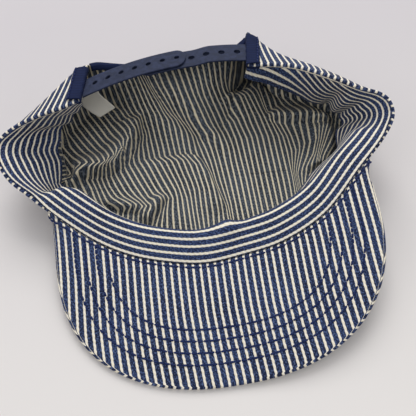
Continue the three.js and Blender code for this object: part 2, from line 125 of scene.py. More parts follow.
# Distance gone past a bend, rounded over radius
def past(distance, bend, radius):
    inside = np.clip(distance - bend + radius, 0, 2 * radius)
    return inside**2 / (4 * radius) + np.maximum(distance - bend - radius, 0)


# Direction out of a grid of points, toward the side that shows
def crossing(grid, closed=False):
    if closed:
        across = np.roll(grid, -1, 0) - np.roll(grid, 1, 0)
    else:
        padded = np.concatenate([grid[:1], grid, grid[-1:]])
        across = padded[2:] - padded[:-2]
    padded = np.concatenate([grid[:, :1], grid, grid[:, -1:]], 1)
    return unit(np.cross(across, padded[:, 2:] - padded[:, :-2]))


# How high folds stand over places (x, y). A fold runs along its points, is lift high on its crest,
# falls off over its widths to the left and the right of the run, and fades out at the ends
def foldRelief(folds, x, y):
    total = np.zeros_like(x)
    stepsPerPoint = 6
    for fold in folds.values():
        rows = table("x y", fold["run"])
        run = smooth(rows, np.linspace(0, len(rows["x"]) - 1, stepsPerPoint * len(rows["x"])))
        nearest = np.full(x.shape, 1e9)
        side = np.zeros(x.shape)
        reached = np.zeros(x.shape)
        lengths = np.hypot(np.diff(run["x"]), np.diff(run["y"]))
        begins = np.r_[0, np.cumsum(lengths)]
        for k, length in enumerate(lengths):
            ax, ay = run["x"][k + 1] - run["x"][k], run["y"][k + 1] - run["y"][k]
            dx, dy = x - run["x"][k], y - run["y"][k]
            part = np.clip((dx * ax + dy * ay) / length**2, 0, 1)
            away = np.hypot(dx - part * ax, dy - part * ay)
            closer = away < nearest
            nearest = np.where(closer, away, nearest)
            side = np.where(closer, ax * dy - ay * dx, side)
            reached = np.where(closer, begins[k] + part * length, reached)
        width = np.where(side > 0, fold["left"], fold["right"])
        fade = smoothstep(reached, 0, fold["fade"][0])
        fade = fade * smoothstep(begins[-1] - reached, 0, fold["fade"][1])
        total = total + fold["lift"] * fade * (1 - smoothstep(nearest, 0, width))
    return total


# Evens a grid's values out across its closed columns
def spreadOut(values, passes):
    for _ in range(passes):
        values = (np.roll(values, 1, 0) + 2 * values + np.roll(values, -1, 0)) / 4
    return values


# A mesh from points in mm, as a visible piece that rides on the cap
def makePiece(name, points, faces, materials, cloth=None, slots=None, replaces=()):
    mesh = bpy.data.meshes.new(name)
    mesh.from_pydata(((np.asarray(points) + capMiddle) * mm).tolist(), [], faces)
    for material in materials:
        mesh.materials.append(material)
    mesh.polygons.foreach_set("use_smooth", [True] * len(mesh.polygons))
    if slots is not None:
        mesh.polygons.foreach_set("material_index", slots)
    if cloth is not None:
        corners = np.empty(len(mesh.loops), int)
        mesh.loops.foreach_get("vertex_index", corners)
        layer = mesh.uv_layers.new(name="cloth")
        layer.uv.foreach_set("vector", np.asarray(cloth, np.float32)[corners].ravel())
    mesh.update()
    piece = bpy.data.objects.new(name, mesh)
    bpy.context.scene.collection.objects.link(piece)
    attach(piece, "root")
    if replaces:
        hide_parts(*replaces)
    return piece


# A closed cloth body about a grid of points, with rounded edges. Its top layer gets slot 0 and the
# under layer slot 1
def clothBody(grid, half, cloth, closed=False):
    columns, rows = grid.shape[:2]
    normal = crossing(grid, closed)
    half = np.broadcast_to(half, (columns, rows))[..., None]
    ids = np.arange(columns * rows).reshape(columns, rows)
    layer = columns * rows
    turned = np.concatenate([ids, ids[:1]]) if closed else ids
    quads = np.stack([turned[:-1, :-1], turned[1:, :-1], turned[1:, 1:], turned[:-1, 1:]], -1)
    quads = quads.reshape(-1, 4)
    flatGrid, flatHalf, flatCloth = grid.reshape(-1, 3), half.reshape(-1, 1), cloth.reshape(-1, 2)
    faces = [quads, quads[:, ::-1] + layer]
    slots = [np.zeros(len(quads), int), np.ones(len(quads), int)]
    points = [(grid + normal * half).reshape(-1, 3), (grid - normal * half).reshape(-1, 3)]
    uv = [flatCloth, flatCloth]
    roundness = 0.9
    count = 2 * layer
    for loop, inner in edgeLoops(ids, closed):
        out = unit(flatGrid[loop] - flatGrid[inner]) * flatHalf[loop]
        points.append(flatGrid[loop] + out * roundness)
        uv.append(flatCloth[loop])
        ring = np.arange(len(loop)) + count
        count += len(loop)
        for a, b in ((loop, ring), (ring, loop + layer)):
            faces.append(np.stack([a, b, np.roll(b, -1), np.roll(a, -1)], -1))
            slots.append(np.zeros(len(loop), int))
    return np.concatenate(points), np.concatenate(faces).tolist(), np.concatenate(uv), np.concatenate(slots)


# The open edges of a grid as loops of places, each with the place one step further in
def edgeLoops(ids, closed):
    if closed:
        return [(ids[:, 0], ids[:, 1]), (ids[::-1, -1], ids[::-1, -2])]
    loop = np.r_[ids[:-1, 0], ids[-1, :-1], ids[:0:-1, -1], ids[0, :0:-1]]
    inner = np.r_[ids[:-1, 1], ids[-2, :-1], ids[:0:-1, -2], ids[1, :0:-1]]
    inner[0], inner[len(ids) - 1] = ids[1, 1], ids[-2, 1]
    inner[len(ids) + len(ids[0]) - 2], inner[2 * len(ids) + len(ids[0]) - 3] = ids[-2, -2], ids[1, -2]
    return [(loop, inner)]


# Faces of a closed bar: each row of ids is a ring round it
def barFaces(ids):
    following = np.roll(ids, -1, 1)
    quads = np.stack([ids[:-1], following[:-1], following[1:], ids[1:]], -1).reshape(-1, 4)
    return quads.tolist() + [ids[0, ::-1].tolist(), ids[-1].tolist()]


# A closed bar of the same outline all along: each place has the outline's two directions e and n
def sweep(place, e, n, outline):
    outline = np.asarray(outline, float)
    points = place[:, None] + e[:, None] * outline[None, :, :1] + n[:, None] * outline[None, :, 1:]
    return points.reshape(-1, 3), barFaces(np.arange(points[..., 0].size).reshape(points.shape[:2]))


# A material's sRGB hex colour as linear values
def linear(code):
    part = [int(code[k:k + 2], 16) / 255 for k in (0, 2, 4)]
    return tuple(c / 12.92 if c <= 0.04045 else ((c + 0.055) / 1.055) ** 2.4 for c in part) + (1.0,)


# Adds a node with its settings and its incoming links. A link from a node takes its first output in use
def node(tree, kind, settings=None, links=None):
    made = tree.nodes.new("ShaderNode" + kind)
    for name, value in (settings or {}).items():
        if isinstance(name, int) or name in made.inputs:
            made.inputs[name].default_value = value
        else:
            setattr(made, name, value)
    for name, source in (links or {}).items():
        if isinstance(source, bpy.types.Node):
            source = next(output for output in source.outputs if output.enabled)
        tree.links.new(source, made.inputs[name])
    return made


def newMaterial(name):
    material = bpy.data.materials.new(name)
    material.use_nodes = True
    material.node_tree.nodes.clear()
    return material, material.node_tree


# A surface's last nodes: its roughness follows one pattern and its bump another
def finishSurface(tree, look, colour, dulled, relief):
    bump = node(tree, "Bump", {"Strength": look["bump"], "Distance": look["bumpDeep"] * mm},
                {"Height": relief})
    rough = node(tree, "MapRange", {"To Min": look["roughness"][0], "To Max": look["roughness"][1]},
                 {"Value": dulled})
    shader = node(tree, "BsdfPrincipled", look["shader"],
                  {"Base Color": colour, "Roughness": rough, "Normal": bump})
    node(tree, "OutputMaterial", links={"Surface": shader})


# Cotton warp-faced twill, yarn-dyed: matt, with fine slanting wales, paler flecks and cream stripes
hickoryTwill = {
    "name": "hickoryStripeTwill", "ground": "141d38", "groundPale": "2f4068", "wear": (0.8, 1.15),
    "wearSize": 0.035, "streaks": (1.6, 0.16, 1), "grain": 1.1,
    "fleck": "5d7098", "flecks": 0.6, "fleckSize": 1.05, "fleckFrom": (0.5, 0.68),
    "stripe": "f6efdd", "stripeShade": "dbcfb0", "stripeShading": 0.55, "stripePitch": 4.16,
    "stripeWidth": 1.3, "stripeSoftness": 0.16, "ragged": 0.2,
    "walePitch": 1.5, "waleSlant": 58, "waleWander": 3.0, "tooth": 0.07,
    "roughness": (0.82, 0.96), "bump": 0.3, "bumpDeep": 0.25,
    "shader": {"Specular IOR Level": 0.25, "Sheen Weight": 0.12, "Sheen Roughness": 0.4},
}
# Its reverse shows the undyed weft: a greyer blue, salt and pepper, with stripes a little yellower
twillReverse = dict(
    hickoryTwill, name="twillReverseSide", ground="262b33", groundPale="454f5c", fleck="757b82",
    stripe="dcd2b8", stripeShade="c2b594", stripeWidth=1.25, flecks=0.7,
)


# Wales are really about 0.7 mm apart, and drawn twice as coarse so that they show
def twill(look):
    material, tree = newMaterial(look["name"])
    place = node(tree, "UVMap", {"uv_map": "cloth"})
    split = node(tree, "SeparateXYZ", links={"Vector": place})
    slant = math.radians(look["waleSlant"])
    step = 2 * math.pi / look["walePitch"]
    grain = node(tree, "TexNoise", {"noise_dimensions": "2D", "Scale": look["grain"], "Detail": 3.0},
                 {"Vector": place})
    phase = node(tree, "VectorMath",
                 {"operation": "DOT_PRODUCT", 1: (step * math.sin(slant), step * math.cos(slant), 0)},
                 {0: place})
    shaken = node(tree, "Math", {"operation": "MULTIPLY_ADD", 1: look["waleWander"]}, {0: grain, 2: phase})
    wale = node(tree, "Math", {"operation": "SINE"}, {0: shaken})
    toothed = node(tree, "Math", {"operation": "MULTIPLY_ADD", 1: look["tooth"]},
                   {0: wale, 2: split.outputs["X"]})
    ragged = node(tree, "Math", {"operation": "MULTIPLY_ADD", 1: look["ragged"]}, {0: grain, 2: toothed})
    across = node(tree, "Math", {"operation": "PINGPONG", 1: look["stripePitch"] / 2}, {0: ragged})
    half, soft = look["stripeWidth"] / 2, look["stripeSoftness"]
    inStripe = node(tree, "MapRange",
                    {"interpolation_type": "SMOOTHSTEP", "From Min": half + soft, "From Max": half - soft},
                    {"Value": across})
    stretched = node(tree, "VectorMath", {"operation": "MULTIPLY", 1: look["streaks"]}, {0: place})
    streak = node(tree, "TexNoise", {"noise_dimensions": "2D", "Scale": 1.0, "Detail": 4.0},
                  {"Vector": stretched})
    fade = node(tree, "TexNoise", {"noise_dimensions": "2D", "Scale": look["wearSize"], "Detail": 2.0},
                {"Vector": place})
    worn = node(tree, "Math", {"operation": "ADD"}, {0: streak, 1: fade})
    pale = node(tree, "MapRange", {"From Min": look["wear"][0], "From Max": look["wear"][1]},
                {"Value": worn})
    waleUp = node(tree, "MapRange", {"From Min": -1.0, "From Max": 1.0}, {"Value": wale})
    raised = node(tree, "Math", {"operation": "MULTIPLY", "use_clamp": True}, {0: pale, 1: waleUp})
    ground = node(tree, "Mix", {"data_type": "RGBA", 6: linear(look["ground"]),
                                7: linear(look["groundPale"])}, {0: raised})
    speck = node(tree, "TexNoise", {"noise_dimensions": "2D", "Scale": look["fleckSize"], "Detail": 1.0},
                 {"Vector": place})
    flecked = node(tree, "MapRange", {"From Min": look["fleckFrom"][0], "From Max": look["fleckFrom"][1],
                                      "To Max": look["flecks"]}, {"Value": speck})
    ground = node(tree, "Mix", {"data_type": "RGBA", 7: linear(look["fleck"])}, {0: flecked, 6: ground})
    # Painted shade: the cream stripes darken along the wale pattern
    valley = node(tree, "Math", {"operation": "MULTIPLY", 1: look["stripeShading"]}, {0: waleUp})
    stripe = node(tree, "Mix", {"data_type": "RGBA", 6: linear(look["stripe"]),
                                7: linear(look["stripeShade"])}, {0: valley})
    colour = node(tree, "Mix", {"data_type": "RGBA"}, {0: inStripe, 6: ground, 7: stripe})
    relief = node(tree, "Math", {"operation": "ADD"}, {0: waleUp, 1: grain})
    finishSurface(tree, look, colour, grain, relief)
    return material


# Folded cotton tape, dyed in the piece: an even navy with a very fine cross rib
navyTape = {
    "name": "navyCottonTape", "colour": "121b38", "worn": "1e2b52", "grain": 1.3, "patches": 0.16,
    "ribPitch": 1.0, "ribSlant": (0.5, 3.4, 5.2), "ribShare": 0.35, "roughness": (0.8, 0.96),
    "bump": 0.25, "bumpDeep": 0.12, "shader": {"Specular IOR Level": 0.2},
}
# Satin polyester label ribbon: smooth off-white, with a faint cross weave
labelRibbon = dict(
    navyTape, name="satinLabelRibbon", colour="cfcbbe", worn="bcb8aa", ribPitch=0.8, roughness=(0.47, 0.63),
)
# Spun polyester sewing thread, navy: a soft shine along the twist
sewingThread = dict(
    navyTape, name="navySewingThread", colour="14204a", worn="213466", ribPitch=0.5, roughness=(0.52, 0.68),
)


def ribbedCloth(look):
    material, tree = newMaterial(look["name"])
    place = node(tree, "TexCoord").outputs["Object"]
    scaled = node(tree, "VectorMath", {"operation": "SCALE", "Scale": 1 / mm}, {0: place})
    grain = node(tree, "TexNoise", {"Scale": look["grain"], "Detail": 3.0}, {"Vector": scaled})
    patches = node(tree, "TexNoise", {"Scale": look["patches"], "Detail": 3.0}, {"Vector": scaled})
    ribStep = tuple(part / look["ribPitch"] for part in look["ribSlant"])
    phase = node(tree, "VectorMath", {"operation": "DOT_PRODUCT", 1: ribStep}, {0: scaled})
    rib = node(tree, "Math", {"operation": "SINE"}, {0: phase})
    relief = node(tree, "Math", {"operation": "MULTIPLY_ADD", 1: look["ribShare"]}, {0: rib, 2: grain})
    worn = node(tree, "Math", {"operation": "MULTIPLY", "use_clamp": True}, {0: relief, 1: patches})
    colour = node(tree, "Mix", {"data_type": "RGBA", 6: linear(look["colour"]), 7: linear(look["worn"])},
                  {0: worn})
    finishSurface(tree, look, colour, grain, relief)
    return material


# Injection-moulded polyethylene, navy: satin, with a fine moulded grain and dull scuffs
mouldedStrap = {
    "name": "mouldedPolyethylene", "colour": "20283e", "scuffed": "303852", "grain": 2.2, "scuffs": 0.3,
    "scuffBend": 0.6, "scuffFrom": (0.4, 0.7), "roughness": (0.58, 0.74), "bump": 0.25, "bumpDeep": 0.05,
    "shader": {"IOR": 1.5, "Specular IOR Level": 0.22},
}


def mouldedPlastic(look):
    material, tree = newMaterial(look["name"])
    place = node(tree, "TexCoord").outputs["Object"]
    scaled = node(tree, "VectorMath", {"operation": "SCALE", "Scale": 1 / mm}, {0: place})
    grain = node(tree, "TexNoise", {"Scale": look["grain"], "Detail": 2.0}, {"Vector": scaled})
    scuffs = node(tree, "TexNoise",
                  {"Scale": look["scuffs"], "Detail": 5.0, "Distortion": look["scuffBend"]},
                  {"Vector": scaled})
    scuffed = node(tree, "MapRange", {"From Min": look["scuffFrom"][0], "From Max": look["scuffFrom"][1]},
                   {"Value": scuffs})
    colour = node(tree, "Mix", {"data_type": "RGBA", 6: linear(look["colour"]), 7: linear(look["scuffed"])},
                  {0: scuffed})
    finishSurface(tree, look, colour, scuffs, grain)
    return material


hickory = twill(hickoryTwill)
reverse = twill(twillReverse)
tapeCloth = ribbedCloth(navyTape)
ribbon = ribbedCloth(labelRibbon)
thread = ribbedCloth(sewingThread)
plastic = mouldedPlastic(mouldedStrap)
print("materials made")

# The rim, from the left end of the back opening round the front to the right end
rim = {"length": 445, "stations": 461, "cloth": 1.0, "bendRadius": 5, "sharpest": 0.98, "mostRise": 0.3,
       "wallRows": 38, "wallToBand": 2.1, "gap": 0.4, "proud": 1.3}
rimSections = table("x y z", [
    [-68.2, 60.8, 44], [-78.3, 56, 44], [-92.3, 53.7, 42], [-104.8, 50.5, 39], [-115, 45, 35.5],
    [-118.4, 38.6, 33], [-117.5, 30.8, 31.5], [-111.5, 18.9, 29], [-100.6, 8.7, 25], [-84.5, -5, 19],
    [-65.4, -20, 14.6], [-47, -30.3, 13], [-27.3, -37.1, 13], [-7.9, -40.7, 13], [12.9, -39.1, 13.5],
    [37.9, -35, 15.6], [64, -23.5, 21], [87.8, -3.1, 31], [103.2, 10.2, 36.4], [112.7, 21.7, 40],
    [113.3, 30.3, 43.5], [108.4, 36.4, 45.5], [97.8, 42.4, 46], [81.9, 54.7, 46], [61.5, 66.3, 46],
    [36.6, 73.6, 44],
])
rimRows, rimRun = evenRows(rimSections, rim["stations"])
rimLine = xyz(rimRows)
rimPlaces = rimRun / rimRun[-1] * rim["length"]  # places along the rim are counted from 0 to its length

# The side wall at places along the rim: it heads for face, lean degrees above level, up to bend,
# then for fall, at drop degrees, over next, and ends after tall at the height seam
wallSections = table("at face bend lean fall drop next tall seam", [
    [0, 81, 34, -9, 88, -40, 5, 32, 39], [12, 80, 32, -10, 86, -80, 5, 40, 29],
    [25, 75, 19, -13, 66, -80, 13, 45, 12], [38, 62, 13, -20, 38, -66, 13, 45, 5],
    [51, 42, 10, -34, 26, -50, 13, 45, 3], [62, 24, 12, -37, 22, -42, 13, 45, 2.6],
    [80, 28, 11, -46, 28, -60, 13, 40, 4], [90, 44, 9, -52, 44, -74, 13, 34, 2.6],
    [98, 50, 10, -30, 50, -80, 13, 34, 2.6], [106, 54, 14, 10, 54, -80, 13, 40, 2.6],
    [118, 60, 18, 24, 60, -80, 13, 43, 2.6], [143, 72, 18, 26, 72, -88, 13, 40, 2.6],
    [184, 88, 17.5, 26, 88, -88, 13, 38, 2.6], [226, 93, 17.5, 25, 93, -88, 13, 38, 2.6],
    [252, 100, 18, 22, 100, -88, 13, 40, 2.6], [280, 115, 17, 17, 115, -86, 13, 43, 2.6],
    [313, 132, 14, 0, 132, -78, 13, 45, 2.6], [334, 142, 14, -16, 142, -66, 16, 45, 2.6],
    [349, 130, 12, -40, 128, -60, 22, 45, 2.6], [358, 112, 9, -45, 121, -56, 25, 45, 2.6],
    [367, 90, 8, -42, 116, -55, 26, 45, 2.8], [379, 68, 8, -34, 110, -55, 26, 45, 4],
    [399, 62, 10, -30, 100, -58, 25, 45, 6], [423, 74, 16, -24, 92, -74, 16, 42, 13],
    [445, 80, 36, -9, 84, -50, 5, 34, 39],
])
# The sweatband lies on the wall where free is 0. Where it is 1 it hangs by itself, along face and lean.
# Toward the back opening it is rolled over: hidden is how much of it has gone under the rim, and long
# how much shows. Its dents stand out from it by dent
band = {"tall": 40, "rows": 42, "edge": (-1.3, -0.65, 0, 0.6), "step": 0.02, "bow": 1.6,
        "firstStripe": 0.3, "dentFrom": (0.1, 0.5)}
bandSections = table("at free face lean long hidden dent", [
    [0, 1, 100, -52, 12, 28, 0], [6, 1, 82, -50, 15.5, 24.5, 0], [11, 1, 68, -47, 19, 21, 0.5],
    [16, 1, 60, -45, 23, 17, 0], [21, 1, 54, -44, 27, 13, -0.8], [27, 1, 49, -42, 31.5, 8.5, 0],
    [35, 1, 43, -40, 36, 4, 1], [41, 1, 40, -39, 38.5, 1.5, -0.6], [48, 1, 35, -34, 40, 0, -1.4],
    [56, 1, 31, -32, 40, 0, 1.2], [64, 1, 32, -33, 40, 0, -1], [72, 1, 33, -36, 38.5, 0, 0.8],
    [80, 1, 39, -39, 36.5, 0, 0], [86, 1, 46, -43, 33, 0, 0], [92, 1, 60, -45, 31, 0, 0],
    [99, 0, 60, -48, 36, 0, 0],
    [200, 0, 90, -40, 40, 0, 0], [207, 0, 90, -40, 40, 0, 0.6], [214, 0, 90, -40, 40, 0, 1.8],
    [219, 0, 90, -40, 40, 0, 2.6], [224, 0, 90, -40, 40, 0, 0.8], [229, 0, 90, -40, 40, 0, -0.3],
    [236, 0, 90, -40, 40, 0, 0], [334, 0, 136, -46, 40, 0, 0], [344, 1, 136, -48, 40, 0, 0.6],
    [352, 1, 136, -53, 40, 0, -1], [360, 1, 131, -60, 40, 0, 0.8], [368, 1, 113, -65, 40, 0, -0.8],
    [376, 1, 98, -66, 40, 0, 1.5], [384, 1, 87, -67, 40, 2, -1.8], [392, 1, 80, -70, 38.5, 6.5, 0],
    [400, 1, 76, -72, 35, 13, 1.2], [408, 1, 74, -76, 30, 19.5, 0], [416, 1, 76, -79, 24.5, 25, 0],
    [424, 1, 84, -82, 20, 28.5, 0], [432, 1, 90, -82, 15.5, 31, 0], [440, 1, 95, -80, 13.5, 33, 0],
    [445, 1, 92, -75, 12, 34, 0],
])


# Points down a strip of cloth that leaves the rim and bends twice, then runs on to its end height
def strip(rows, distance):
    first = heading(rows["face"], rows["lean"])
    second = heading(rows["fall"], rows["drop"])
    bend, following = rows["bend"][:, None], rows["next"][:, None]
    restLength = np.maximum(rows["tall"] - rows["bend"] - rows["next"], 1)
    restDepth = rows["end"] - rimLine[:, 2] - first[:, 2] * rows["bend"] - second[:, 2] * rows["next"]
    sink = np.clip(restDepth / restLength, -1, rim["mostRise"])
    third = heading(rows["fall"], np.degrees(np.arcsin(sink)))
    bent = past(distance, bend, np.minimum(rim["bendRadius"], bend * rim["sharpest"]))[..., None]
    bentMore = past(distance, bend + following, rim["bendRadius"])[..., None]
    line = rimLine[:, None] + first[:, None] * distance[..., None]
    return line + (second - first)[:, None] * bent + (third - second)[:, None] * bentMore


def wallAndBand():
    rows = at(wallSections, "at", rimPlaces)
    rows["end"] = rows["seam"]
    edge = rim["proud"]
    wallDown = -edge + np.linspace(0, 1, rim["wallRows"])[None] * (rows["tall"][:, None] + edge)
    free = at(bandSections, "at", rimPlaces)
    part = np.linspace(0, 1, band["rows"])[None]
    start = band["edge"][-1] + band["step"]
    body = start + part * (free["long"][:, None] - start)
    cloth = start + free["hidden"][:, None] + part * (band["tall"] - start - free["hidden"][:, None])
    edgeRows = np.broadcast_to(band["edge"], (len(rimLine), len(band["edge"])))
    bandDown = np.concatenate([edgeRows, body], 1)
    bandCloth = np.concatenate([edgeRows, cloth], 1) + band["firstStripe"]
    wall = strip(rows, wallDown)
    beside = strip(rows, bandDown)
    away = rim["wallToBand"] / 2
    lying = beside + crossing(beside) * away
    hanging = rimLine[:, None] + heading(free["face"], free["lean"])[:, None] * bandDown[..., None]
    depth = np.clip(bandDown / band["tall"], 0, 1)
    bowed = away + band["bow"] * 4 * depth * (1 - depth)
    hanging = hanging + crossing(hanging) * bowed[..., None]
    share = np.clip(free["free"], 0, 1)[:, None, None]
    joined = lying + (hanging - lying) * share
    dented = free["dent"][:, None] * smoothstep(depth, *band["dentFrom"])
    joined = joined + crossing(joined) * dented[..., None]
    return wall - crossing(wall) * away, wallDown, joined, bandCloth


wall, wallDown, sweatband, bandCloth = wallAndBand()


# The wall's cloth turns in over the rim, in a narrow fold that shows its stripes as dashes
rimFold = {"radius": 0.55, "tuck": 2.0, "steps": 7}


def foldedWall():
    start = wall[:, 0]
    down = unit(wall[:, 1] - wall[:, 0])
    toBand = crossing(wall)[:, 0]
    radius = rimFold["radius"]
    rows = []
    runs = []
    length = math.pi * radius
    for tuck in (rimFold["tuck"], rimFold["tuck"] / 2):
        rows.append(start + toBand * 2 * radius + down * tuck)
        runs.append(-length - tuck - rim["proud"])
    for step in range(rimFold["steps"]):
        turn = math.pi * step / rimFold["steps"]
        rows.append(start + toBand * radius * (1 + math.cos(turn)) - down * radius * math.sin(turn))
        runs.append(-length * (1 - step / rimFold["steps"]) - rim["proud"])
    folded = np.concatenate([np.stack(rows, 1), wall], 1)
    down = np.concatenate([np.broadcast_to(runs, (len(start), len(runs))), wallDown], 1)
    return folded, down


# The outer stripes lean toward the back opening near it
wallSlant = table("at slant", [
    [0, -0.12], [30, -0.1], [60, 0], [370, 0], [395, 0.35], [415, 0.35], [445, 0.18],
])
folded, foldedDown = foldedWall()
slanted = np.interp(rimPlaces, wallSlant["at"], wallSlant["slant"])[:, None]
along = rimPlaces[:, None] - slanted * np.maximum(foldedDown, 0)
points, faces, cloth, slots = clothBody(folded, rim["cloth"] / 2, np.stack([along, foldedDown], -1))
makePiece("side_panel_cloth", points, faces, [reverse, hickory], cloth, slots, ["side_panel"])

bandAlong = np.broadcast_to(rimPlaces[:, None], bandCloth.shape)
points, faces, cloth, slots = clothBody(sweatband, rim["cloth"] / 2, np.stack([bandCloth, bandAlong], -1))
makePiece("sweatband_cloth", points, faces, [hickory], cloth, None, ["sweatband"])
print("side panel and sweatband made")

# The top panel lies on the table with its inner face up
panel = {"rings": 82, "middle": (-3, 22), "floor": 0.5, "footSlope": 86, "leastFoot": 3, "seam": 1.0,
         "crowding": 1.15, "evening": 500, "evenFrom": (3, 22), "foldFrom": (0.5, 7), "archColumns": 92,
         "softShare": 0.45, "softest": 10}
# The edge of the back opening, right to left: the cloth meets the table foot further in
archSections = table("x y z foot", [
    [44.6, 105.6, 38.5, 4], [38.8, 99.6, 37.8, 7], [29, 94, 36.8, 24], [14, 91, 36.5, 40],
    [-2, 90, 36.5, 48], [-20, 89.5, 36.5, 50], [-36, 90.5, 36.8, 44], [-48, 92.5, 37.4, 28],
    [-57, 93.6, 38.3, 11], [-63.1, 92.4, 38.8, 5],
])
panelFolds = {
    "shelf": {"lift": 12, "left": 2.2, "right": 22, "fade": (14, 22), "run": [
        (-34, 76), (-36, 68), (-38.5, 62.5), (-42, 54.5), (-47.5, 45.5), (-54, 37.5), (-60, 34.5),
        (-67, 34), (-74, 34), (-82, 29), (-90, 22)]},
    "patch": {"lift": 4, "left": 3, "right": 20, "fade": (10, 12), "run": [
        (-44, 38), (-34, 38.5), (-22, 39), (-10, 38.5), (-2, 36), (2, 26), (5, 14), (8, 2), (10, -8)]},
    "diagonal valley": {"lift": -5, "left": 4, "right": 9, "fade": (12, 12), "run": [
        (-30, 84), (-26.5, 80), (-18, 70.5), (-6.5, 62), (2, 52.5), (9, 43)]},
    "beside the diagonal": {"lift": 3.5, "left": 12, "right": 4, "fade": (14, 16), "run": [
        (-22, 84), (-14, 76), (-2, 67), (8, 57), (15, 45), (19, 30)]},
    "front ridge": {"lift": 6.5, "left": 3.5, "right": 10, "fade": (9, 10), "run": [
        (-24, 14), (-28, 9), (-31, 4.5), (-34.5, 0), (-37, -5), (-39, -11)]},
    "front left crest": {"lift": 5, "left": 9, "right": 6, "fade": (10, 8), "run": [
        (-68, 12), (-58, 9.5), (-47.5, 7), (-36, 4)]},
    "fan": {"lift": 7.5, "left": 15, "right": 2.6, "fade": (10, 10), "run": [
        (49, 68), (55, 63), (64, 59.5), (73, 59), (79.5, 59), (86, 55.5), (96, 52)]},
    "right bunch": {"lift": 7.5, "left": 8, "right": 15, "fade": (12, 14), "run": [
        (84, 58), (88, 44), (84, 30), (76, 19), (66, 9)]},
    "back corner": {"lift": 7, "left": 5, "right": 22, "fade": (12, 8), "run": [
        (20, 74), (28, 79), (34, 82.5), (40, 85), (46, 90), (50, 98)]},
}


